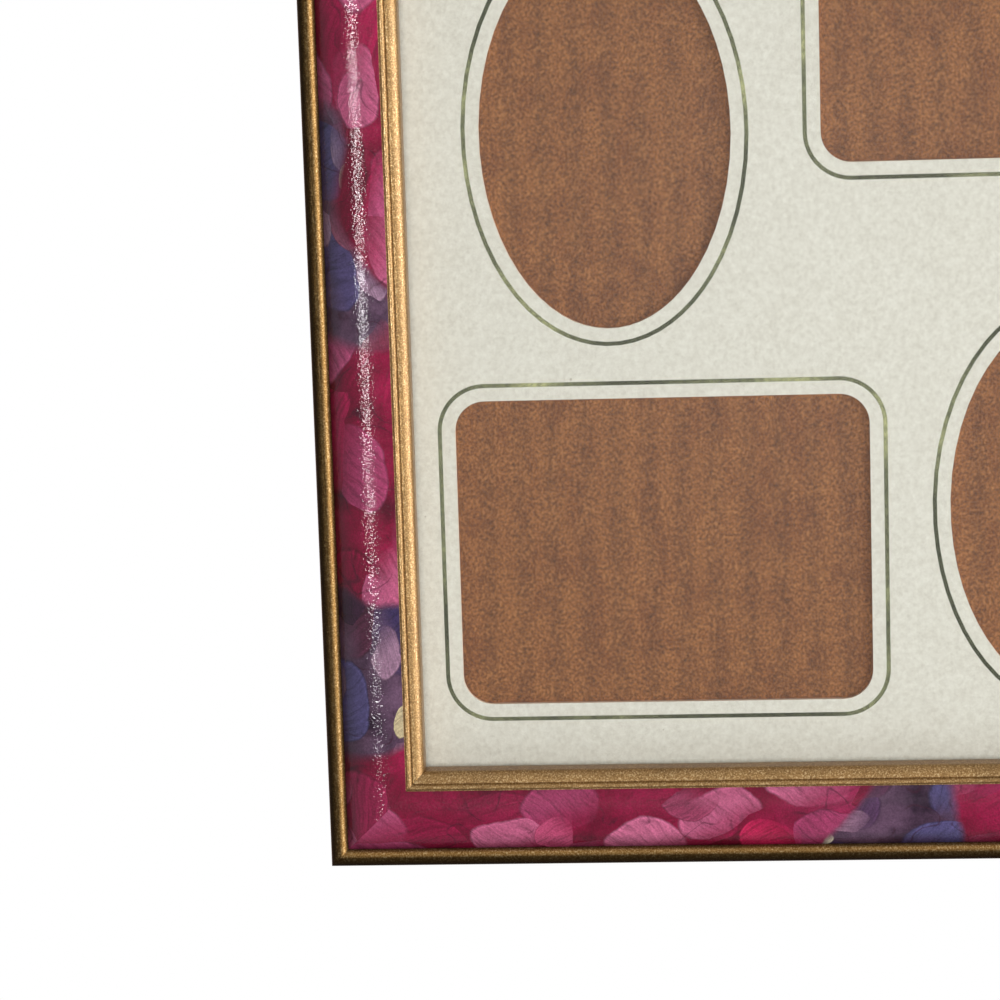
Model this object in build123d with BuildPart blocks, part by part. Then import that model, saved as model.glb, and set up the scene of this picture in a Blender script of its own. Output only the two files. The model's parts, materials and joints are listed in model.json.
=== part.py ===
import os
from math import atan2, tan

from build123d import *

os.makedirs("parts", exist_ok=True)

# Collage photo frame, hung on a wall in landscape format.
# X runs to the right and Z up as seen from the front, and the front faces -Y.
# The origin is the centre of the back plane of the rails, where they lie against the wall.
# Depths are counted from that back plane towards the front.

# Mat board, die cut
mat_width = 508.0
mat_height = 406.4
mat_thickness = 1.3

# Windows in the mat. An oval's height is a share of the room between the corner windows.
window_long = 101.6
window_short = 76.2
window_corner_radius = 7.4
oval_height_share = 0.445
oval_slimness = 0.641
corner_window_side_margin = 9.95
corner_window_end_margin = 15.3
oval_side_margin = 18.05
oval_gap_to_corner_window = 17.3
middle_row_gap = 21.6

# Glass
glass_thickness = 2.0
glass_gap = 0.05

# Corrugated backing board
backing_thickness = 4.0
backing_recess = 0.2
liner_thickness = 0.3
flute_pitch = 8.0
flute_crest = 1.6
flute_paper = 0.25
flute_glue_gap = 0.05

# Moulding section, from the sight edge outwards
rabbet_width = 5.4
rabbet_clearance = 0.8
lip_width = 2.7
lip_height = 6.65
groove_width = 0.5
groove_depth = 0.25
ridge_width = 1.2
ridge_rise = 0.35
band_width = 15.4
band_drop = 2.5
band_radius = 15.0
bead_width = 4.3
bead_rise = 2.1
print_paper = 0.25
print_inset = 0.25
print_glue = 0.03

# Corner nails, driven into the back across each mitre
corner_nail_leg = 5.0
corner_nail_thickness = 0.5
corner_nail_depth = 7.0
corner_nail_insets = (5.0, 12.0)

# Turn buttons that hold the backing in
button_thickness = 1.0
button_reach = 23.0
button_pivot_end_radius = 5.5
button_tip_radius = 3.6
button_tip_lift = 1.8
button_tip_length = 6.0
button_clearance = 0.15
button_hole_clearance = 0.05
button_spread = 300.0

# Screws of the turn buttons
screw_shank_radius = 1.6
screw_length = 9.0
screw_head_radius = 3.2
screw_head_height = 1.9
screw_head_taper = 20.0

# Sawtooth hangers on the top rail
hanger_spread = 150.0
hanger_length = 42.0
hanger_height = 8.5
hanger_sheet = 0.8
hanger_foot = 7.5
hanger_ramp = 2.5
hanger_stand_off = 1.6
tooth_count = 7
tooth_pitch = 2.6
tooth_depth = 1.9

# Depths of the layers that lie in the rabbet
mat_back = backing_recess + backing_thickness
mat_face = mat_back + mat_thickness
glass_back = mat_face + glass_gap
rabbet_depth = glass_back + glass_thickness

# Outline of the frame
rail_width = lip_width + groove_width + ridge_width + band_width + bead_width
rail_back_width = rail_width - rabbet_width
sight_width = mat_width + 2 * rabbet_clearance - 2 * rabbet_width
sight_height = mat_height + 2 * rabbet_clearance - 2 * rabbet_width
outer_width = sight_width + 2 * rail_width
outer_height = sight_height + 2 * rail_width

# Heights of the moulding section
lip_top = rabbet_depth + lip_height
band_start = lip_width + groove_width + ridge_width
band_end = band_start + band_width
valley = lip_top - band_drop

TOWARDS_FRONT = Vector(0, -1, 0)
TOWARDS_WALL = Vector(0, 1, 0)

# Each side of the frame: the way out from the middle, and half the sight size across and along
SIDES = {
    "left": (Vector(-1, 0, 0), sight_width / 2, sight_height / 2),
    "right": (Vector(1, 0, 0), sight_width / 2, sight_height / 2),
    "top": (Vector(0, 0, 1), sight_height / 2, sight_width / 2),
    "bottom": (Vector(0, 0, -1), sight_height / 2, sight_width / 2),
}


def section_plane(outward, sight_half):
    """Plane across a rail: x counts outwards from the sight edge, y from the back to the front."""
    return Plane(origin=outward * sight_half, x_dir=outward, z_dir=outward.cross(TOWARDS_FRONT))


def mitre_planes(outward, sight_half, along_half):
    """The two mitre planes of a rail. The rail lies below both."""
    along = outward.cross(TOWARDS_FRONT)
    for way in (along, along * -1):
        corner = outward * sight_half + way * along_half
        yield Plane(origin=corner, z_dir=way - outward)


def cut_mitres(outward, sight_half, along_half):
    """Cut both ends of the length of moulding that is being made."""
    for mitre in mitre_planes(outward, sight_half, along_half):
        split(bisect_by=mitre, keep=Keep.BOTTOM)


# Windows: shape, centre to the right, centre up, width and height, seen from the front
column_room = sight_height - 2 * (corner_window_end_margin + window_short)
oval_height = oval_height_share * column_room
oval_width = oval_slimness * oval_height
side_window_x = sight_width / 2 - corner_window_side_margin - window_long / 2
corner_window_z = sight_height / 2 - corner_window_end_margin - window_short / 2
row_edge = sight_height / 2 - corner_window_end_margin
row_room = 2 * (side_window_x - window_long / 2) - window_short - 2 * oval_width
row_gap = row_room / 4
row_oval_x = window_short / 2 + row_gap + oval_width / 2
row_oval_z = row_edge - oval_height / 2
row_upright_z = row_edge - window_long / 2
column_x = sight_width / 2 - oval_side_margin - oval_width / 2
column_oval_top = window_short + oval_gap_to_corner_window + oval_height - row_edge
column_oval_z = column_oval_top - oval_height / 2
column_round_z = (column_oval_top + row_edge - window_short) / 2
middle_upright_x = column_x - oval_width / 2 - middle_row_gap - window_short / 2

WINDOWS = [
    ("rectangle", 0, row_upright_z, window_short, window_long),
    ("rectangle", 0, -row_upright_z, window_short, window_long),
    ("rectangle", 0, 0, window_long, window_short),
]
for side in (-1, 1):
    WINDOWS.append(("rectangle", side * side_window_x, corner_window_z, window_long, window_short))
    WINDOWS.append(("rectangle", side * side_window_x, -corner_window_z, window_long, window_short))
    WINDOWS.append(("oval", side * row_oval_x, row_oval_z, oval_width, oval_height))
    WINDOWS.append(("oval", side * row_oval_x, -row_oval_z, oval_width, oval_height))
    WINDOWS.append(("oval", side * column_x, column_oval_z, oval_width, oval_height))
    WINDOWS.append(("round", side * column_x, column_round_z, oval_width, oval_width))
    WINDOWS.append(("rectangle", side * middle_upright_x, 0, window_short, window_long))

# Mat board
with BuildPart() as mat_board:
    with BuildSketch(Plane.XZ.offset(mat_back)):
        Rectangle(mat_width, mat_height)
        for shape, x, z, width, height in WINDOWS:
            with Locations((x, z)):
                if shape == "rectangle":
                    RectangleRounded(width, height, window_corner_radius, mode=Mode.SUBTRACT)
                elif shape == "oval":
                    Ellipse(width / 2, height / 2, mode=Mode.SUBTRACT)
                else:
                    Circle(width / 2, mode=Mode.SUBTRACT)
    extrude(amount=mat_thickness)
mat_board.part.label = "mat_board"
export_step(mat_board.part, "parts/mat_board.step")

# Glass
with BuildPart() as glazing:
    with BuildSketch(Plane.XZ.offset(glass_back)):
        Rectangle(mat_width, mat_height)
    extrude(amount=glass_thickness)
glazing.part.label = "glazing"
export_step(glazing.part, "parts/glazing.step")

# Backing board: a liner in front, a liner behind
liner_depths = {
    "backing_back_liner": backing_recess,
    "backing_front_liner": mat_back - liner_thickness,
}
for name, depth in liner_depths.items():
    with BuildPart() as liner:
        with BuildSketch(Plane.XZ.offset(depth)):
            Rectangle(mat_width, mat_height)
        extrude(amount=liner_thickness)
    liner.part.label = name
    export_step(liner.part, f"parts/{name}.step")

# Backing board: the fluted paper between the liners, with upright flutes.
# Its middle line is a wave of flat crests, glued to the liners, and slanted flanks.
flute_middle = backing_recess + backing_thickness / 2
wave_height = backing_thickness - 2 * liner_thickness - 2 * flute_glue_gap - flute_paper
half_pitch = flute_pitch / 2
flank_slope = atan2(wave_height, half_pitch - flute_crest)
crest_growth = flute_paper / 2 * tan(flank_slope / 2)
half_wave_count = 2 * int((mat_width - flute_crest) / flute_pitch)
wave_start = -half_wave_count * half_pitch / 2


def flute_face(side):
    """The corners of one face of the fluted paper, from end to end."""
    corners = []
    for index in range(half_wave_count + 1):
        crest = 1 if index % 2 else -1
        x = wave_start + index * half_pitch
        y = crest * wave_height / 2 + side * flute_paper / 2 - flute_middle
        half_crest = flute_crest / 2 + crest * side * crest_growth
        corners += [(x - half_crest, y), (x + half_crest, y)]
    return corners


with BuildPart() as backing_fluting:
    with BuildSketch(Plane.XY):
        with BuildLine():
            Polyline(*flute_face(1), *reversed(flute_face(-1)), close=True)
        make_face()
    extrude(amount=mat_height / 2, both=True)
backing_fluting.part.label = "backing_fluting"
export_step(backing_fluting.part, "parts/backing_fluting.step")

# Pivots of the turn buttons, in the middle of the rails' backs: one on a short rail, two on a long one
BUTTONS = {}
for side, (outward, sight_half, _) in SIDES.items():
    pivot = outward * (sight_half + rail_width - rail_back_width / 2)
    if side in ("left", "right"):
        BUTTONS[f"turn_button_{side}"] = (outward, pivot)
    else:
        BUTTONS[f"turn_button_{side}_left"] = (outward, pivot - Vector(button_spread / 2, 0, 0))
        BUTTONS[f"turn_button_{side}_right"] = (outward, pivot + Vector(button_spread / 2, 0, 0))

# Turn buttons: a tapered steel leaf with a lifted tip, flat on the back of the rail
for name, (outward, pivot) in BUTTONS.items():
    seat = pivot + TOWARDS_WALL * button_clearance
    inward = outward * -1
    leaf_plane = Plane(origin=seat, x_dir=inward, z_dir=TOWARDS_WALL)
    side_plane = Plane(origin=seat, x_dir=inward, z_dir=inward.cross(TOWARDS_WALL))
    leaf_end = button_reach + button_tip_radius
    bend = leaf_end - button_tip_length
    lifted = button_tip_lift + button_thickness
    with BuildPart() as turn_button:
        with BuildSketch(side_plane):
            with BuildLine():
                Polyline(
                    (-button_pivot_end_radius, 0),
                    (bend, 0),
                    (leaf_end, button_tip_lift),
                    (leaf_end, lifted),
                    (bend, button_thickness),
                    (-button_pivot_end_radius, button_thickness),
                    close=True,
                )
            make_face()
        extrude(amount=button_pivot_end_radius, both=True)
        with BuildSketch(leaf_plane):
            Circle(button_pivot_end_radius)
            with Locations((button_reach, 0)):
                Circle(button_tip_radius)
            make_hull()
        extrude(amount=lifted, mode=Mode.INTERSECT)
        with BuildSketch(leaf_plane):
            Circle(screw_shank_radius + button_hole_clearance)
        extrude(amount=lifted, mode=Mode.SUBTRACT)
    turn_button.part.label = name
    export_step(turn_button.part, f"parts/{name}.step")

# Screws that the turn buttons pivot on
head_seat = 2 * button_clearance + button_thickness
with BuildPart() as button_screws:
    for _, pivot in BUTTONS.values():
        screw_plane = Plane(origin=pivot, x_dir=(1, 0, 0), z_dir=TOWARDS_WALL)
        with BuildSketch(screw_plane.offset(-screw_length)):
            Circle(screw_shank_radius)
        extrude(amount=screw_length + head_seat)
        with BuildSketch(screw_plane.offset(head_seat)):
            Circle(screw_head_radius)
        extrude(amount=screw_head_height, taper=screw_head_taper)
button_screws.part.label = "button_screws"
export_step(button_screws.part, "parts/button_screws.step")

# Sawtooth hangers: a bent strip with a foot at either end and teeth under the raised middle
hanger_z = outer_height / 2 - rail_back_width / 2
raised_half = hanger_length / 2 - hanger_foot - hanger_ramp
tooth_row = (tooth_count - 1) * tooth_pitch
HANGERS = {"sawtooth_hanger_left": -hanger_spread / 2, "sawtooth_hanger_right": hanger_spread / 2}
for name, hanger_x in HANGERS.items():
    with BuildPart() as hanger:
        with BuildSketch(Plane(origin=(hanger_x, 0, hanger_z), x_dir=(1, 0, 0), z_dir=(0, 0, 1))):
            with BuildLine():
                half = [
                    (raised_half, hanger_stand_off),
                    (raised_half + hanger_ramp, 0),
                    (hanger_length / 2, 0),
                    (hanger_length / 2, hanger_sheet),
                    (raised_half + hanger_ramp, hanger_sheet),
                    (raised_half, hanger_stand_off + hanger_sheet),
                ]
                Polyline(*half, *[(-x, y) for x, y in reversed(half)], close=True)
            make_face()
        extrude(amount=hanger_height / 2, both=True)
        with BuildSketch(Plane(origin=(hanger_x, 0, hanger_z), x_dir=(1, 0, 0), z_dir=(0, -1, 0))):
            for number in range(tooth_count):
                tooth_x = number * tooth_pitch - tooth_row / 2
                with BuildLine():
                    Polyline(
                        (tooth_x - tooth_pitch / 2, -hanger_height / 2),
                        (tooth_x, tooth_depth - hanger_height / 2),
                        (tooth_x + tooth_pitch / 2, -hanger_height / 2),
                        close=True,
                    )
                make_face()
        extrude(amount=hanger_stand_off + hanger_sheet, both=True, mode=Mode.SUBTRACT)
    hanger.part.label = name
    export_step(hanger.part, f"parts/{name}.step")

# Corner nails: an angled strip across each mitre, with a leg along each rail
with BuildPart() as corner_nails:
    with BuildSketch(Plane.XZ):
        for right in (-1, 1):
            for up in (-1, 1):
                for inset in corner_nail_insets:
                    apex_x = right * (outer_width / 2 - inset)
                    apex_z = up * (outer_height / 2 - inset)
                    inner_x = apex_x - right * corner_nail_thickness
                    inner_z = apex_z - up * corner_nail_thickness
                    foot_x = apex_x - right * corner_nail_leg
                    foot_z = apex_z - up * corner_nail_leg
                    with BuildLine():
                        Polyline(
                            (apex_x, apex_z),
                            (foot_x, apex_z),
                            (foot_x, inner_z),
                            (inner_x, inner_z),
                            (inner_x, foot_z),
                            (apex_x, foot_z),
                            close=True,
                        )
                    make_face()
    extrude(amount=corner_nail_depth)
corner_nails.part.label = "corner_nails"
export_step(corner_nails.part, "parts/corner_nails.step")

# Rails: one moulding section, mitred at both ends
for side, (outward, sight_half, along_half) in SIDES.items():
    with BuildPart() as rail:
        with BuildSketch(section_plane(outward, sight_half)):
            with BuildLine():
                Polyline(
                    (rail_width, valley),
                    (rail_width, 0),
                    (rabbet_width, 0),
                    (rabbet_width, rabbet_depth),
                    (0, rabbet_depth),
                    (0, lip_top - lip_width),
                )
                RadiusArc((0, lip_top - lip_width), (lip_width, lip_top), lip_width)
                Polyline(
                    (lip_width, lip_top),
                    (lip_width + groove_width / 2, lip_top - groove_depth),
                    (lip_width + groove_width, lip_top),
                )
                ThreePointArc(
                    (lip_width + groove_width, lip_top),
                    (band_start - ridge_width / 2, lip_top + ridge_rise),
                    (band_start, lip_top),
                )
                RadiusArc((band_start, lip_top), (band_end, valley), band_radius)
                ThreePointArc(
                    (band_end, valley),
                    (band_end + bead_width / 2, valley + bead_rise),
                    (rail_width, valley),
                )
            make_face()
        extrude(amount=along_half + rail_width, both=True)
        cut_mitres(outward, sight_half, along_half)
        add(corner_nails.part, mode=Mode.SUBTRACT)
        add(button_screws.part, mode=Mode.SUBTRACT)
    rail.part.label = f"rail_{side}"
    export_step(rail.part, f"parts/rail_{side}.step")

# Printed paper, glued over the domed band of each rail
for side, (outward, sight_half, along_half) in SIDES.items():
    with BuildPart() as printed_paper:
        with BuildSketch(section_plane(outward, sight_half)):
            with BuildLine():
                band = RadiusArc((band_start, lip_top), (band_end, valley), band_radius, mode=Mode.PRIVATE)
                edge = print_inset / band.length
                covered = [band @ edge, band @ 0.5, band @ (1 - edge)]
                outwards = [(point - band.arc_center).normalized() for point in covered]
                under = ThreePointArc(*[p + n * print_glue for p, n in zip(covered, outwards)])
                over = ThreePointArc(*[p + n * (print_glue + print_paper) for p, n in zip(covered, outwards)])
                Line(under @ 0, over @ 0)
                Line(under @ 1, over @ 1)
            make_face()
        extrude(amount=along_half + rail_width, both=True)
        cut_mitres(outward, sight_half, along_half)
    printed_paper.part.label = f"printed_paper_{side}"
    export_step(printed_paper.part, f"parts/printed_paper_{side}.step")
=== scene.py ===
import json
import math

import bpy
from mathutils import Matrix, Vector


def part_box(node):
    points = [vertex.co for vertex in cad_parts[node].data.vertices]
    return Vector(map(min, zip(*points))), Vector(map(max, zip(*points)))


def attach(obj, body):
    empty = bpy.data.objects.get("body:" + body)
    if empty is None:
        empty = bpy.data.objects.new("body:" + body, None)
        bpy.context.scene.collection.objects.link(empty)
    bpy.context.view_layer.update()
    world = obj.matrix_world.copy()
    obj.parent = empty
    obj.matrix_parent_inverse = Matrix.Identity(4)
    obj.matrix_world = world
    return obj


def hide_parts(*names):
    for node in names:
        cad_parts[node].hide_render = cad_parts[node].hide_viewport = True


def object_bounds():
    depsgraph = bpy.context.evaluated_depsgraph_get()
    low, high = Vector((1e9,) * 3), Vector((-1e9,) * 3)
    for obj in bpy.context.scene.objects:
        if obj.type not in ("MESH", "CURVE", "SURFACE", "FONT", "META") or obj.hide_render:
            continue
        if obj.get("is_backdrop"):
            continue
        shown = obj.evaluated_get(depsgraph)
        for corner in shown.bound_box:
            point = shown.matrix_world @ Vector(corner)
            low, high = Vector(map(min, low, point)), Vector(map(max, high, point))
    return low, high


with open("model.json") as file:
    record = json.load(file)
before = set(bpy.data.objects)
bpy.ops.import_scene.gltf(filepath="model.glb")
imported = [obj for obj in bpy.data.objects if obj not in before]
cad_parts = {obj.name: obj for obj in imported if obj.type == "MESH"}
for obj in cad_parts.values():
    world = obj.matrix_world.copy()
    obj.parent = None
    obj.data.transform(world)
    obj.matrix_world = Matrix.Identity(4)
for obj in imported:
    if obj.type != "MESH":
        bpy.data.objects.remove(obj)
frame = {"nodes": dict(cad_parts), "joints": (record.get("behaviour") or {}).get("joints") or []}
cad_low, cad_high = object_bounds()
nodes = frame["nodes"]

MM = 0.001

# Sizes read from the frame
rail_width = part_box("rail_left")[1].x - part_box("rail_left")[0].x
half_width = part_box("rail_right")[1].x
half_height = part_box("rail_top")[1].z
glass_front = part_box("glazing")[0].y
mat_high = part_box("mat_board")[1]
liner_low, liner_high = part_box("backing_front_liner")

# Each side of the frame: the way out from the middle and the way along the rail
SIDES = {
    "left": (Vector((-1, 0, 0)), Vector((0, 0, 1))),
    "right": (Vector((1, 0, 0)), Vector((0, 0, 1))),
    "top": (Vector((0, 0, 1)), Vector((1, 0, 0))),
    "bottom": (Vector((0, 0, -1)), Vector((1, 0, 0))),
}

# Across the moulding, in millimetres from the sight edge
LIP_END = 2.7
RIDGE_START = 3.2
BAND_START = 4.4
BEAD_START = 19.8
RAIL_END = 24.1

FLUTE_PITCH = 8.0 * MM

RAIL_UV = "along_rail"


def srgb(red, green, blue):
    """A colour as seen on screen, 0 to 255, as the linear values that a shader takes."""
    def linear(value):
        share = value / 255
        return share / 12.92 if share <= 0.04045 else ((share + 0.055) / 1.055) ** 2.4
    return linear(red), linear(green), linear(blue), 1.0


# Finishes


class Finish:
    """A material under construction, with short ways to add and join its nodes."""

    def __init__(self, name):
        self.material = bpy.data.materials.new(name)
        self.material.use_nodes = True
        self.tree = self.material.node_tree
        self.shader = self.tree.nodes["Principled BSDF"]

    def add(self, kind, inputs=None, **settings):
        """A new node with its inputs joined or set."""
        node = self.tree.nodes.new("ShaderNode" + kind)
        for key, value in settings.items():
            setattr(node, key, value)
        for key, value in (inputs or {}).items():
            self.put(node.inputs[key], value)
        return node

    def put(self, socket, value):
        """Join an output to a socket, or set a constant on it."""
        if isinstance(value, bpy.types.NodeSocket):
            self.tree.links.new(value, socket)
        else:
            socket.default_value = value

    def set(self, **values):
        """Settings of the shader, by the names of its sockets."""
        for key, value in values.items():
            self.put(self.shader.inputs[key.replace("_", " ")], value)

    def place(self):
        return self.add("TexCoord").outputs["Object"]

    def rail_place(self):
        return self.add("UVMap", uv_map=RAIL_UV).outputs["UV"]

    def scaled(self, place, scale, turn=0.0):
        """A place stretched along its axes, and turned about the last of them."""
        mapping = self.add("Mapping", {"Vector": place, "Scale": scale, "Rotation": (0, 0, turn)})
        return mapping.outputs["Vector"]

    def drifted(self, place, scale, reach):
        """A place pushed about by a soft noise."""
        drift = self.add("TexNoise", {"Vector": place, "Scale": scale, "Detail": 2.0}).outputs["Color"]
        centred = self.add("VectorMath", {0: drift, 1: (0.5, 0.5, 0.5)}, operation="SUBTRACT")
        push = self.add("VectorMath", {0: centred.outputs[0], "Scale": reach}, operation="SCALE")
        return self.add("VectorMath", {0: place, 1: push.outputs[0]}, operation="ADD").outputs[0]

    def noise(self, place, scale=1.0, detail=2.0, roughness=0.5, distortion=0.0):
        node = self.add("TexNoise", {"Vector": place, "Scale": scale, "Detail": detail,
                                     "Roughness": roughness, "Distortion": distortion})
        return node.outputs["Fac"]

    def ramp(self, factor, stops):
        node = self.add("ValToRGB", {"Fac": factor})
        ramp = node.color_ramp
        while len(ramp.elements) < len(stops):
            ramp.elements.new(1.0)
        for element, (position, colour) in zip(ramp.elements, stops):
            element.position = position
            element.color = colour
        return node.outputs["Color"]

    def grey_ramp(self, factor, stops):
        return self.ramp(factor, [(position, (level, level, level, 1.0)) for position, level in stops])

    def across_ramp(self, stops):
        """Grey levels across the rail, at distances from the sight edge in millimetres."""
        across = self.add("SeparateXYZ", {"Vector": self.rail_place()}).outputs["Y"]
        share = self.math("MULTIPLY", across, 1 / (RAIL_END * MM))
        return self.grey_ramp(share, [(distance / RAIL_END, level) for distance, level in stops])

    def mix(self, factor, first, second, blend="MIX"):
        """Two colours mixed. The node keeps the sockets for colours at these places in its lists."""
        node = self.add("Mix", data_type="RGBA", blend_type=blend)
        self.put(node.inputs[0], factor)
        self.put(node.inputs[6], first)
        self.put(node.inputs[7], second)
        return node.outputs[2]

    def shaded(self, colour, tone):
        """A colour darkened or lightened by a tone."""
        return self.mix(1.0, colour, tone, "MULTIPLY")

    def math(self, operation, first, second=0.0):
        node = self.add("Math", operation=operation)
        self.put(node.inputs[0], first)
        self.put(node.inputs[1], second)
        return node.outputs[0]

    def bump(self, height, strength, distance, sockets=("Normal",)):
        """Relief on the surface, and on the coat where that is named too."""
        node = self.add("Bump", {"Height": height, "Strength": strength, "Distance": distance})
        for socket in sockets:
            self.put(self.shader.inputs[socket], node.outputs["Normal"])


def gold_finish():
    """Bronze gold paint: coarse flakes, painted shade in the groove, the valley and over the outer half of
    the bead, a thin painted reflection near the outer edge, and varnish on lip and ridge.
    """
    finish = Finish("gold_paint")
    # Painted shade across the rail: a little darker at the sight edge and in the groove, darker in the
    # valley, near black over the outer half of the bead, with a thin painted reflection near the outer edge
    painted_shading = finish.across_ramp([
        (0.0, 0.92),
        (0.5, 0.97),
        (LIP_END - 0.3, 0.97),
        (LIP_END + 0.25, 0.9),
        (RIDGE_START + 0.3, 1.0),
        (BAND_START, 0.95),
        (BEAD_START, 0.5),
        (BEAD_START + 0.5, 0.8),
        (BEAD_START + 0.9, 1.0),
        (BEAD_START + 1.4, 0.62),
        (BEAD_START + 1.9, 0.13),
        (RAIL_END - 0.5, 0.035),
        (RAIL_END - 0.25, 0.26),
        (RAIL_END, 0.06),
    ])
    flakes = finish.noise(finish.place(), scale=2500.0, roughness=0.6)
    colour = finish.ramp(flakes, [
        (0.32, srgb(109, 78, 39)),
        (0.46, srgb(135, 101, 56)),
        (0.56, srgb(154, 121, 74)),
        (0.68, srgb(194, 166, 122)),
    ])
    # The painted shade and painted reflection laid over the flakes
    colour = finish.shaded(colour, painted_shading)
    worn = finish.noise(finish.place(), scale=130.0, detail=4.0, roughness=0.6)
    colour = finish.shaded(colour, finish.grey_ramp(worn, [(0.3, 0.86), (0.7, 1.08)]))
    shine = finish.grey_ramp(flakes, [(0.4, 0.48), (0.7, 0.38)])
    varnish = finish.across_ramp([(BAND_START, 0.7), (BEAD_START, 0.0)])
    finish.set(Base_Color=colour, Metallic=0.75, Roughness=shine, Specular_IOR_Level=0.2,
               Specular_Tint=srgb(170, 140, 96), Coat_Weight=varnish, Coat_Roughness=0.3, Coat_IOR=1.4)
    grains = finish.noise(finish.place(), scale=1500.0, detail=1.0)
    finish.bump(grains, strength=0.13, distance=0.08 * MM, sockets=("Normal", "Coat Normal"))
    return finish.material


def umber_finish():
    """Dark umber paint on the outer sides, dulled and a little uneven; its darkness is partly painted shade
    for sides turned away from the light.
    """
    finish = Finish("umber_paint")
    patches = finish.noise(finish.place(), scale=45.0, detail=5.0, roughness=0.6)
    colour = finish.ramp(patches, [
        (0.3, srgb(36, 26, 12)),
        (0.55, srgb(58, 44, 22)),
        (0.75, srgb(86, 70, 38)),
    ])
    fine = finish.noise(finish.place(), scale=1500.0, detail=3.0)
    finish.set(Base_Color=colour, Metallic=0.1, Roughness=0.62, Specular_IOR_Level=0.15)
    finish.bump(fine, strength=0.3, distance=0.06 * MM)
    return finish.material


def bare_wood_finish():
    """Planed softwood, with grain along the rail."""
    finish = Finish("bare_wood")
    place = finish.rail_place()
    stretched = finish.scaled(place, (6.0, 420.0, 1.0))
    grain = finish.noise(stretched, detail=5.0, roughness=0.62, distortion=0.6)
    pores = finish.noise(finish.scaled(place, (90.0, 3200.0, 1.0)))
    colour = finish.ramp(grain, [
        (0.3, srgb(150, 110, 70)),
        (0.5, srgb(196, 158, 112)),
        (0.7, srgb(214, 182, 138)),
    ])
    colour = finish.shaded(colour, finish.grey_ramp(pores, [(0.35, 0.8), (0.5, 1.0)]))
    finish.set(Base_Color=colour, Roughness=0.72)
    finish.bump(pores, strength=0.35, distance=0.08 * MM)
    return finish.material


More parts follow.
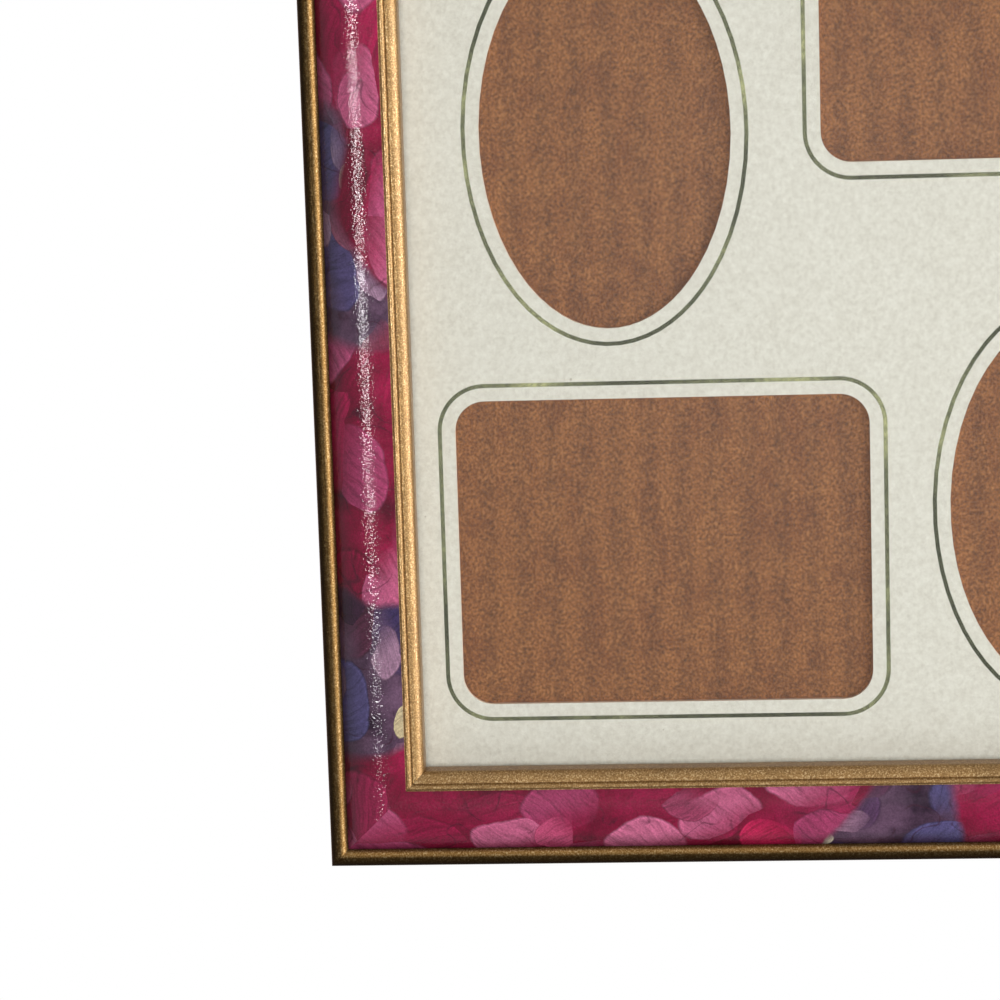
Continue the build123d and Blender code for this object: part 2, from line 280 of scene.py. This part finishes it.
def petal_print_finish():
    """Varnished paper with a free pattern of brushed lobes: wine, rose and mauve, with drifts of violet."""
    finish = Finish("petal_print")
    place = finish.rail_place()
    bent = finish.drifted(place, scale=34.0, reach=12.0 * MM)
    loose = finish.drifted(bent, scale=300.0, reach=1.0 * MM)
    clouds = finish.noise(loose, scale=90.0, detail=4.0, roughness=0.6)
    wine = finish.ramp(clouds, [(0.3, srgb(76, 0, 27)), (0.5, srgb(121, 3, 47)), (0.7, srgb(147, 14, 64))])
    violet = finish.ramp(clouds, [(0.3, srgb(37, 14, 37)), (0.7, srgb(108, 78, 103))])
    region = finish.noise(finish.scaled(loose, (14.0, 10.0, 1.0)), detail=1.0)
    violet_drift = finish.grey_ramp(region, [(0.56, 0.0), (0.585, 1.0)])
    rose_drift = finish.math("SUBTRACT", 1.0, violet_drift)
    slimness = 1.7

    def lobes(under, length, turn, often, drift, palette):
        """A layer of rounded lobes over what lies under it, each fading out towards its root."""
        turned = finish.scaled(loose, (1 / length, slimness / length, 1.0), turn)
        cells = finish.add("TexVoronoi", {"Vector": turned, "Scale": 1.0, "Randomness": 0.85},
                           voronoi_dimensions="2D")
        chance = finish.add("SeparateColor", {"Color": cells.outputs["Color"]})
        local = finish.add("VectorMath", {0: turned, 1: cells.outputs["Position"]}, operation="SUBTRACT")
        from_middle = finish.add("SeparateXYZ", {"Vector": local.outputs[0]}).outputs["X"]
        from_root = finish.math("ADD", from_middle, 0.5)
        brushed = finish.scaled(turned, (2.0, 20.0, 1.0))
        bristles = finish.noise(brushed, detail=4.0, roughness=0.65, distortion=0.6)
        last = len(palette) - 1
        tones = [(0.1 + 0.8 * index / last, tone) for index, tone in enumerate(palette)]
        colour = finish.ramp(chance.outputs["Green"], tones)
        colour = finish.shaded(colour, finish.grey_ramp(bristles, [(0.3, 0.55), (0.5, 1.0), (0.7, 1.3)]))
        distance = cells.outputs["Distance"]
        colour = finish.shaded(colour, finish.grey_ramp(distance, [(0.39, 1.0), (0.42, 1.22), (0.45, 0.5)]))
        cover = finish.grey_ramp(distance, [(0.44, 1.0), (0.465, 0.0)])
        cover = finish.math("MULTIPLY", cover, finish.grey_ramp(from_root, [(0.15, 0.15), (0.55, 0.95)]))
        cover = finish.math("MULTIPLY", cover, finish.math("LESS_THAN", chance.outputs["Red"], often))
        cover = finish.math("MULTIPLY", cover, drift)
        return finish.mix(cover, under, colour)

    colour = lobes(wine, length=34 * MM, turn=0.5, often=0.75, drift=rose_drift,
                   palette=[srgb(98, 0, 34), srgb(161, 23, 73), srgb(123, 3, 48), srgb(149, 38, 80)])
    colour = lobes(colour, length=24 * MM, turn=2.2, often=0.55, drift=rose_drift,
                   palette=[srgb(172, 76, 115), srgb(147, 48, 88), srgb(190, 99, 133)])
    colour = lobes(colour, length=17 * MM, turn=3.9, often=0.35, drift=rose_drift,
                   palette=[srgb(183, 27, 77), srgb(175, 83, 119), srgb(107, 0, 40)])
    colour = finish.mix(violet_drift, colour, violet)
    colour = lobes(colour, length=25 * MM, turn=1.2, often=0.85, drift=violet_drift,
                   palette=[srgb(46, 34, 73), srgb(122, 96, 124), srgb(76, 27, 50), srgb(78, 71, 115)])
    colour = lobes(colour, length=15 * MM, turn=2.8, often=0.5, drift=violet_drift,
                   palette=[srgb(122, 41, 62), srgb(154, 129, 154), srgb(50, 18, 44)])
    colour = lobes(colour, length=9 * MM, turn=4.4, often=0.12, drift=violet_drift,
                   palette=[srgb(238, 222, 190), srgb(156, 138, 94), srgb(238, 224, 198)])

    ripple = finish.noise(loose, scale=75.0, detail=1.0)
    off_line = finish.math("ABSOLUTE", finish.math("SUBTRACT", ripple, 0.5))
    dark_line = finish.grey_ramp(off_line, [(0.0, 0.6), (0.006, 0.4), (0.012, 0.0)])
    dark_line = finish.math("MULTIPLY", dark_line, finish.grey_ramp(clouds, [(0.42, 1.0), (0.55, 0.0)]))
    colour = finish.mix(dark_line, colour, srgb(53, 11, 32))
    # Painted shade along the band's edges: slightly darker by the ridge, much darker down into the valley
    # by the bead
    painted_edge_shade = finish.across_ramp([
        (BAND_START, 0.9),
        (BAND_START + 1.2, 1.0),
        (BEAD_START - 4.0, 1.0),
        (BEAD_START - 1.2, 0.55),
        (BEAD_START, 0.35),
    ])
    colour = finish.shaded(colour, painted_edge_shade)

    grain = finish.noise(finish.place(), scale=2000.0, detail=3.0, roughness=0.7)
    colour = finish.shaded(colour, finish.grey_ramp(grain, [(0.35, 0.78), (0.65, 1.16)]))
    finish.set(Base_Color=colour, Roughness=0.6, Specular_IOR_Level=0.0,
               Coat_Weight=1.0, Coat_Roughness=0.12, Coat_IOR=1.3)
    pebbles = finish.noise(finish.place(), scale=1600.0, detail=1.0)
    finish.bump(pebbles, strength=0.95, distance=0.1 * MM, sockets=("Normal", "Coat Normal"))
    return finish.material


def mat_paper_finish():
    """Pale sage mat paper: fine tooth, faint mottling and a few specks."""
    finish = Finish("mat_paper")
    place = finish.place()
    mottle = finish.noise(place, scale=800.0, detail=4.0, roughness=0.7)
    colour = finish.ramp(mottle, [
        (0.3, srgb(208, 205, 192)),
        (0.5, srgb(220, 218, 206)),
        (0.7, srgb(230, 229, 218)),
    ])
    specks = finish.add("TexVoronoi", {"Vector": place, "Scale": 190.0})
    chance = finish.add("SeparateColor", {"Color": specks.outputs["Color"]}).outputs["Red"]
    near = finish.math("LESS_THAN", specks.outputs["Distance"], 0.06)
    few = finish.math("GREATER_THAN", chance, 0.88)
    speck = finish.math("MULTIPLY", finish.math("MULTIPLY", near, few), 0.5)
    colour = finish.mix(speck, colour, srgb(140, 128, 104))
    tooth = finish.noise(place, scale=1400.0, detail=3.0, roughness=0.6)
    finish.set(Base_Color=colour, Roughness=0.85)
    finish.bump(tooth, strength=0.4, distance=0.08 * MM)
    return finish.material


def mat_core_finish():
    """The cut edge of the mat: warm cream pulp."""
    finish = Finish("mat_core")
    fibres = finish.noise(finish.place(), scale=900.0, detail=3.0)
    colour = finish.ramp(fibres, [(0.3, srgb(228, 205, 184)), (0.7, srgb(244, 229, 210))])
    finish.set(Base_Color=colour, Roughness=0.9)
    finish.bump(fibres, strength=0.3, distance=0.05 * MM)
    return finish.material


def foil_finish():
    """Stamped foil, greenish gold, unevenly pressed."""
    finish = Finish("stamped_foil")
    place = finish.place()
    pressed = finish.noise(place, scale=24.0, detail=3.0, roughness=0.6)
    colour = finish.ramp(pressed, [
        (0.42, srgb(72, 75, 54)),
        (0.55, srgb(112, 115, 85)),
        (0.68, srgb(172, 174, 126)),
    ])
    breaks = finish.noise(place, scale=900.0)
    colour = finish.shaded(colour, finish.grey_ramp(breaks, [(0.35, 0.55), (0.6, 1.08)]))
    finish.set(Base_Color=colour, Metallic=0.8, Roughness=0.24)
    finish.bump(breaks, strength=0.2, distance=0.03 * MM)
    return finish.material


def kraft_finish():
    """Brown kraft board: short pulp fibres and faint upright stripes of painted shade over the flutes."""
    finish = Finish("kraft_board")
    place = finish.place()
    pulp = finish.noise(place, scale=1400.0, detail=3.0, roughness=0.7)
    colour = finish.ramp(pulp, [
        (0.3, srgb(84, 50, 17)),
        (0.5, srgb(133, 81, 36)),
        (0.7, srgb(180, 121, 67)),
    ])
    patches = finish.noise(finish.scaled(place, (170.0, 170.0, 90.0)), detail=4.0, roughness=0.6)
    tint = finish.ramp(patches, [
        (0.35, srgb(222, 213, 202)),
        (0.5, srgb(244, 243, 242)),
        (0.65, srgb(254, 255, 254)),
    ])
    colour = finish.shaded(colour, tint)
    # Painted shade in upright stripes, one lighter and one darker band per flute
    one_per_flute = math.pi / (10 * FLUTE_PITCH)
    painted_flute_shade = finish.add("TexWave", {"Vector": place, "Scale": one_per_flute, "Distortion": 0.5},
                        wave_type="BANDS", bands_direction="X")
    colour = finish.shaded(colour, finish.grey_ramp(painted_flute_shade.outputs["Fac"], [(0.0, 0.92), (1.0, 1.08)]))
    finish.set(Base_Color=colour, Roughness=0.88)
    finish.bump(pulp, strength=0.3, distance=0.06 * MM)
    return finish.material


def glass_finish():
    """Clear picture glass: see-through, with a gloss on its outer faces that grows at a slant."""
    finish = Finish("clear_glass")
    finish.tree.nodes.remove(finish.shader)
    clear = finish.add("BsdfTransparent", {"Color": (0.99, 0.99, 0.985, 1.0)})
    gloss = finish.add("BsdfGlossy", {"Color": (1.0, 1.0, 1.0, 1.0), "Roughness": 0.02})
    fresnel = finish.add("Fresnel", {"IOR": 1.37}).outputs[0]
    outer_face = finish.math("SUBTRACT", 1.0, finish.add("NewGeometry").outputs["Backfacing"])
    mirrored = finish.math("MULTIPLY", fresnel, outer_face)
    blend = finish.add("MixShader", {0: mirrored, 1: clear.outputs[0], 2: gloss.outputs[0]})
    finish.tree.links.new(blend.outputs[0], finish.tree.nodes["Material Output"].inputs["Surface"])
    return finish.material


def plated_finish(name, low, high, roughness):
    """Plated steel with a cloudy spangle and fine rolling scratches."""
    finish = Finish(name)
    place = finish.place()
    spangle = finish.noise(place, scale=420.0, detail=4.0, roughness=0.6)
    colour = finish.ramp(spangle, [(0.3, low), (0.7, high)])
    scratches = finish.noise(finish.scaled(place, (300.0, 300.0, 4200.0)))
    finish.set(Base_Color=colour, Metallic=1.0, Roughness=roughness)
    finish.bump(scratches, strength=0.15, distance=0.03 * MM)
    return finish.material


gold = gold_finish()
umber = umber_finish()
bare_wood = bare_wood_finish()
petal_print = petal_print_finish()
mat_paper = mat_paper_finish()
mat_core = mat_core_finish()
foil = foil_finish()
kraft = kraft_finish()
glass = glass_finish()
zinc = plated_finish("zinc_plate", srgb(150, 152, 154), srgb(196, 198, 198), roughness=0.34)
screw_yellow = plated_finish("passivated_zinc", srgb(150, 124, 66), srgb(204, 180, 112), roughness=0.3)
nail_steel = plated_finish("drawn_steel", srgb(116, 116, 118), srgb(168, 168, 168), roughness=0.38)

# Ways of working

# Edges sharper than these angles, in degrees, are rounded or keep a crisp shade
BEVEL_ANGLE = 35
CRISP_ANGLE = 40
MOULDING_CRISP_ANGLE = 25
NAIL_CRISP_ANGLE = 50

# How far a face turns towards a way, from 0 for not at all to 1 for fully
SLIGHTLY = 0.05
MOSTLY = 0.5
SQUARELY = 0.9

MERGE_REACH = 0.001 * MM


def deselect():
    bpy.ops.object.select_all(action="DESELECT")


def pick(piece):
    """Make a piece the only selected and active object."""
    deselect()
    piece.select_set(True)
    bpy.context.view_layer.objects.active = piece


def edit(piece):
    """Open a piece in edit mode with nothing selected."""
    pick(piece)
    bpy.ops.object.mode_set(mode="EDIT")
    bpy.ops.mesh.select_mode(type="FACE")
    bpy.ops.mesh.select_all(action="DESELECT")


def done():
    bpy.ops.object.mode_set(mode="OBJECT")


def select_faces(piece, wanted):
    """In edit mode, select the faces that a test on their centre and normal accepts."""
    done()
    for face in piece.data.polygons:
        face.select = wanted(face.center, face.normal)
    bpy.ops.object.mode_set(mode="EDIT")


def copy_of(node, name):
    """A copy of a CAD node's mesh with its loose triangles merged and its stored normals dropped."""
    piece = bpy.data.objects.new(name, nodes[node].data.copy())
    bpy.context.scene.collection.objects.link(piece)
    piece.data.materials.clear()
    edit(piece)
    bpy.ops.mesh.select_all(action="SELECT")
    bpy.ops.mesh.remove_doubles(threshold=MERGE_REACH)
    bpy.ops.mesh.mark_sharp(clear=True)
    done()
    bpy.ops.mesh.customdata_custom_splitnormals_clear()
    return piece


def smooth(piece, angle=CRISP_ANGLE):
    """Shade a piece as smooth, apart from its crisp edges."""
    pick(piece)
    bpy.ops.object.shade_smooth_by_angle(angle=math.radians(angle))


def apply_modifier(piece, kind, **settings):
    """Add a modifier with these settings and apply it."""
    pick(piece)
    modifier = piece.modifiers.new(kind.lower(), kind)
    for key, value in settings.items():
        setattr(modifier, key, value)
    bpy.ops.object.modifier_apply(modifier=modifier.name)


def soften_edges(piece, width):
    """Round the sharp edges of a sheet metal piece."""
    apply_modifier(piece, "BEVEL", width=width, segments=2, limit_method="ANGLE",
                   angle_limit=math.radians(BEVEL_ANGLE))


def lay_along_rail(piece, side):
    """Give a piece of a rail a map in metres, along the rail and outwards from its sight edge."""
    outward, along = SIDES[side]
    sight = half_width - rail_width if outward.x else half_height - rail_width
    own_stretch = list(SIDES).index(side)
    layer = piece.data.uv_layers.new(name=RAIL_UV)
    for loop in piece.data.loops:
        place = piece.data.vertices[loop.vertex_index].co
        layer.data[loop.index].uv = (place.dot(along) + own_stretch, place.dot(outward) - sight)


def paint(piece, *materials):
    """Give a piece these materials and no others."""
    piece.data.materials.clear()
    for material in materials:
        piece.data.materials.append(material)


def finish_piece(piece, body, slot, *replaced):
    """Fix a piece to its body and let it stand for the CAD nodes it replaces; its slot is not used."""
    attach(piece, body)
    if replaced:
        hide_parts(*replaced)


# Moulding: gold in front, umber outside as partly painted shade, bare wood behind, with a hairline between
# the mitred ends
mitre_gap = 0.04 * MM
gold_slot, umber_slot, wood_slot = range(3)
for side, (outward, along) in SIDES.items():
    rail = copy_of(f"rail_{side}", f"moulding_{side}")
    length = half_height if outward.x else half_width
    for vertex in rail.data.vertices:
        vertex.co -= along * (vertex.co.dot(along) / length * mitre_gap)
    paint(rail, gold, umber, bare_wood)
    for face in rail.data.polygons:
        facing_out = face.normal.dot(outward)
        lip_wall = facing_out < -MOSTLY and face.center.y < glass_front
        if face.normal.y < -SLIGHTLY or lip_wall:
            face.material_index = gold_slot
        elif facing_out > SQUARELY:
            face.material_index = umber_slot
        else:
            face.material_index = wood_slot
    lay_along_rail(rail, side)
    smooth(rail, MOULDING_CRISP_ANGLE)
    finish_piece(rail, "frame", "gilded_moulding", f"rail_{side}")

    strip = copy_of(f"printed_paper_{side}", f"print_strip_{side}")
    paint(strip, petal_print)
    lay_along_rail(strip, side)
    smooth(strip, MOULDING_CRISP_ANGLE)
    finish_piece(strip, "frame", "printed_paper", f"printed_paper_{side}")

# Mat: paper on its faces, pulp on its cut edges
mat = copy_of("mat_board", "window_mat")
paint(mat, mat_paper, mat_core)
paper_slot, core_slot = range(2)
for face in mat.data.polygons:
    face.material_index = paper_slot if abs(face.normal.y) > MOSTLY else core_slot
finish_piece(mat, "frame", "mat_board", "mat_board")

# Foil line: two insets from the windows' edges leave a ring round each, and the ring at the border goes
foil_gap = 3.3 * MM
foil_width = 1.0 * MM
foil_lift = 0.02 * MM
border_margin = 1.0 * MM
foil_lines = copy_of("mat_board", "foil_lines")
paint(foil_lines, foil)
edit(foil_lines)
select_faces(foil_lines, lambda centre, normal: normal.y < -MOSTLY)
bpy.ops.mesh.select_all(action="INVERT")
bpy.ops.mesh.delete(type="FACE")
bpy.ops.mesh.select_all(action="SELECT")
bpy.ops.mesh.inset(thickness=foil_gap, use_boundary=True, use_even_offset=True)
bpy.ops.mesh.inset(thickness=foil_width, use_boundary=True, use_even_offset=True, use_select_inset=True)
bpy.ops.mesh.select_all(action="INVERT")
bpy.ops.mesh.delete(type="FACE")
border = mat_high - Vector((1, 1, 1)) * (foil_gap + foil_width + border_margin)
select_faces(foil_lines, lambda centre, normal: abs(centre.x) > border.x or abs(centre.z) > border.z)
bpy.ops.mesh.delete(type="FACE")
bpy.ops.mesh.select_all(action="SELECT")
bpy.ops.transform.translate(value=(0, -foil_lift, 0))
done()
finish_piece(foil_lines, "frame", "gilded_moulding")

# Front liner: paper drawn slightly in between the flutes
wave = 0.07 * MM
steps_per_flute = 8
liner_size = liner_high - liner_low
steps = int(liner_size.x / FLUTE_PITCH * steps_per_flute)
deselect()
bpy.ops.mesh.primitive_grid_add(x_subdivisions=steps, y_subdivisions=1, size=1.0, location=(0, 0, 0))
liner = bpy.context.object
liner.name = "liner_front"
edit(liner)
bpy.ops.mesh.select_all(action="SELECT")
bpy.ops.transform.resize(value=(liner_size.x, liner_size.z, 1))
bpy.ops.transform.rotate(value=-math.pi / 2, orient_axis="X", center_override=(0, 0, 0))
bpy.ops.transform.translate(value=(0, liner_low.y + wave, 0))
done()
for vertex in liner.data.vertices:
    vertex.co.y += wave * math.cos(2 * math.pi * vertex.co.x / FLUTE_PITCH)
paint(liner, kraft)
apply_modifier(liner, "SOLIDIFY", thickness=liner_size.y - 2 * wave, offset=-1.0)
smooth(liner)
finish_piece(liner, "frame", "kraft_board", "backing_front_liner")

# Pieces that are shown as they come from the frame
paint(nodes["backing_fluting"], kraft)
paint(nodes["backing_back_liner"], kraft)
paint(nodes["glazing"], glass)
paint(nodes["corner_nails"], nail_steel)

# Turn buttons and hangers: sheet steel with softened edges
button_rounding = 0.15 * MM
hanger_rounding = 0.1 * MM
for name in [node for node in nodes if node.startswith("turn_button")]:
    button = copy_of(name, name.replace("turn_button", "button"))
    soften_edges(button, button_rounding)
    paint(button, zinc)
    smooth(button)
    finish_piece(button, name, "zinc_plate", name)
for name in ("sawtooth_hanger_left", "sawtooth_hanger_right"):
    hanger = copy_of(name, name.replace("sawtooth_", ""))
    soften_edges(hanger, hanger_rounding)
    paint(hanger, zinc)
    smooth(hanger)
    finish_piece(hanger, "frame", "zinc_plate", name)

# Fasteners


def turned_disc(radius, low, high, vertices=40):
    """A disc about the Y axis, between two depths."""
    deselect()
    bpy.ops.mesh.primitive_cylinder_add(vertices=vertices, radius=radius, depth=high - low,
                                        location=(0, (low + high) / 2, 0), rotation=(math.pi / 2, 0, 0))
    bpy.ops.object.transform_apply(location=True, rotation=True, scale=True)
    return bpy.context.object


def round_back(piece, width, segments):
    """Round the edge of a disc's back face."""
    edit(piece)
    select_faces(piece, lambda centre, normal: normal.y > SQUARELY)
    bpy.ops.mesh.bevel(offset=width, segments=segments, affect="EDGES")
    done()


def set_in(master, name, place):
    """A copy of a fastener at a place."""
    piece = bpy.data.objects.new(name, master.data.copy())
    bpy.context.scene.collection.objects.link(piece)
    piece.data.transform(Matrix.Translation(place))
    return piece


# Screws: a pan head with a crossed recess, on a plain shank
head_radius = 3.2 * MM
head_seat = 1.3 * MM
head_rounding = 1.3 * MM
shank_radius = 1.55 * MM
shank_overlap = 0.1 * MM
recess_length = 4.0 * MM
recess_width = 0.85 * MM
recess_depth = 1.2 * MM
screw = turned_disc(head_radius, head_seat, cad_high.y)
round_back(screw, head_rounding, segments=6)
for across, up in ((recess_length, recess_width), (recess_width, recess_length)):
    deselect()
    bpy.ops.mesh.primitive_cube_add(size=1.0, location=(0, cad_high.y, 0))
    cutter = bpy.context.object
    cutter.scale = (across, 2 * recess_depth, up)
    bpy.ops.object.transform_apply(location=True, rotation=True, scale=True)
    apply_modifier(screw, "BOOLEAN", object=cutter, operation="DIFFERENCE", solver="EXACT")
    bpy.data.objects.remove(cutter)
shank = turned_disc(shank_radius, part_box("button_screws")[0].y, head_seat + shank_overlap, vertices=24)
pick(shank)
screw.select_set(True)
bpy.context.view_layer.objects.active = screw
bpy.ops.object.join()
paint(screw, screw_yellow)
smooth(screw)
for joint in frame["joints"]:
    name = joint["name"].replace("turn_button", "screw").replace("_pivot", "")
    piece = set_in(screw, name, Vector(joint["pos_m"]))
    finish_piece(piece, "frame", "screw_steel", "button_screws")
bpy.data.objects.remove(screw)

# Hanger nails: a small domed head on each foot
nail_radius = 1.7 * MM
nail_height = 0.7 * MM
nail_rounding = 0.55 * MM
nail_sink = 0.05 * MM
foot_middle = 3.75 * MM
hanger_thickness = 0.8 * MM
nail = turned_disc(nail_radius, hanger_thickness - nail_sink, hanger_thickness + nail_height, vertices=28)
round_back(nail, nail_rounding, segments=4)
paint(nail, nail_steel)
smooth(nail, NAIL_CRISP_ANGLE)
for side in ("left", "right"):
    low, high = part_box(f"sawtooth_hanger_{side}")
    for end, x in (("left", low.x + foot_middle), ("right", high.x - foot_middle)):
        piece = set_in(nail, f"hanger_nail_{side}_{end}", Vector((x, 0, (low.z + high.z) / 2)))
        finish_piece(piece, "frame", "nail_steel")
bpy.data.objects.remove(nail)

# Floor
floor_size = 3.2
floor_drop = 0.75
deselect()
bpy.ops.mesh.primitive_plane_add(size=floor_size, location=(0, 0, -half_height - floor_drop))
floor = bpy.context.object
floor.name = "floor"
pale = Finish("pale_floor")
pale.set(Base_Color=(0.86, 0.86, 0.86, 1.0), Roughness=0.8)
paint(floor, pale.material)
floor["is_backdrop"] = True

# Surroundings: a soft fill, seen as white by the camera and in gloss and glass
FILL = 0.2
world = bpy.data.worlds.new("surroundings")
bpy.context.scene.world = world
world.use_nodes = True
tree = world.node_tree
background = tree.nodes["Background"]
background.inputs["Color"].default_value = (1.0, 1.0, 1.0, 1.0)
paths = tree.nodes.new("ShaderNodeLightPath")
strength = None
for ray in ("Is Camera Ray", "Is Glossy Ray", "Is Transmission Ray"):
    brightest = tree.nodes.new("ShaderNodeMath")
    brightest.operation = "MAXIMUM"
    tree.links.new(paths.outputs[ray], brightest.inputs[0])
    if strength is None:
        brightest.inputs[1].default_value = FILL
    else:
        tree.links.new(strength, brightest.inputs[1])
    strength = brightest.outputs[0]
tree.links.new(strength, background.inputs["Strength"])

# Lamps


def softbox(name, place, aim, size, power, matte=True, gloss=True, spread=180):
    """A soft lamp with a beam as wide as its spread, in degrees.

    Without gloss it leaves no mirror image, and without matte it gives only a sheen.
    """
    lamp = bpy.data.lights.new(name, "AREA")
    lamp.shape = "RECTANGLE"
    lamp.size, lamp.size_y = size
    lamp.energy = power
    lamp.spread = math.radians(spread)
    holder = bpy.data.objects.new(name, lamp)
    bpy.context.scene.collection.objects.link(holder)
    holder.location = place
    holder.rotation_euler = (Vector(aim) - Vector(place)).to_track_quat("-Z", "Y").to_euler()
    holder.visible_camera = False
    holder.visible_diffuse = matte
    holder.visible_glossy = gloss
    return holder


right_side = {"place": (2.5, -1.75, 0.1), "aim": (-0.1, 0, -0.1), "size": (1.75, 1.3)}
softbox("front_window", place=(-0.25, -2.4, 0.1), aim=(-0.1, 0, -0.15), size=(1.0, 1.0),
        power=21.0, gloss=False)
softbox("right_window", **right_side, power=50.0, gloss=False)
softbox("right_card", **right_side, power=110.0, matte=False)
softbox("side_window", place=(1.3, -0.28, -0.1), aim=(-0.25, 0, -0.1), size=(0.5, 1.4), power=12.5)
softbox("rear_window", place=(-0.6, 2.4, 0.9), aim=(0, 0, 0), size=(1.2, 1.2), power=40.0)
left_card = softbox("left_card", place=(-0.63, -1.35, -0.15), aim=(-0.262, 0, -0.05), size=(0.12, 0.42),
                    power=0.14, matte=False, spread=16)
softbox("glow_card", place=(-0.096, -1.35, -0.15), aim=(-0.12, 0, -0.03), size=(0.9, 0.9),
        power=0.034, matte=False, spread=23)
softbox("narrow_card", place=(0.27, -1.35, 0.05), aim=(-0.26, 0, -0.06), size=(0.06, 0.8),
        power=0.015, matte=False, spread=20)

# The left card lights only the left rail
card_reach = bpy.data.collections.new("left_card_reach")
for name in ("moulding_left", "print_strip_left"):
    card_reach.objects.link(bpy.data.objects[name])
left_card.light_linking.receiver_collection = card_reach

# Camera at the photograph's viewing angle
IMAGE_SIZE = 1000
FOCAL_PIXELS = 3468.0
CAMERA_PLACE = (-163.70 * MM, -847.16 * MM, 9.47 * MM)
CAMERA_TURN = (80.499, 1.816, 4.126)
camera_data = bpy.data.cameras.new("camera")
camera_data.sensor_width = 36.0
camera_data.lens = FOCAL_PIXELS / IMAGE_SIZE * camera_data.sensor_width
camera_data.clip_start = 0.01
camera = bpy.data.objects.new("camera", camera_data)
bpy.context.scene.collection.objects.link(camera)
camera.location = CAMERA_PLACE
camera.rotation_euler = [math.radians(degrees) for degrees in CAMERA_TURN]
bpy.context.scene.camera = camera
bpy.context.scene.view_settings.view_transform = "Standard"

# Size of the dressed part
low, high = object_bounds()
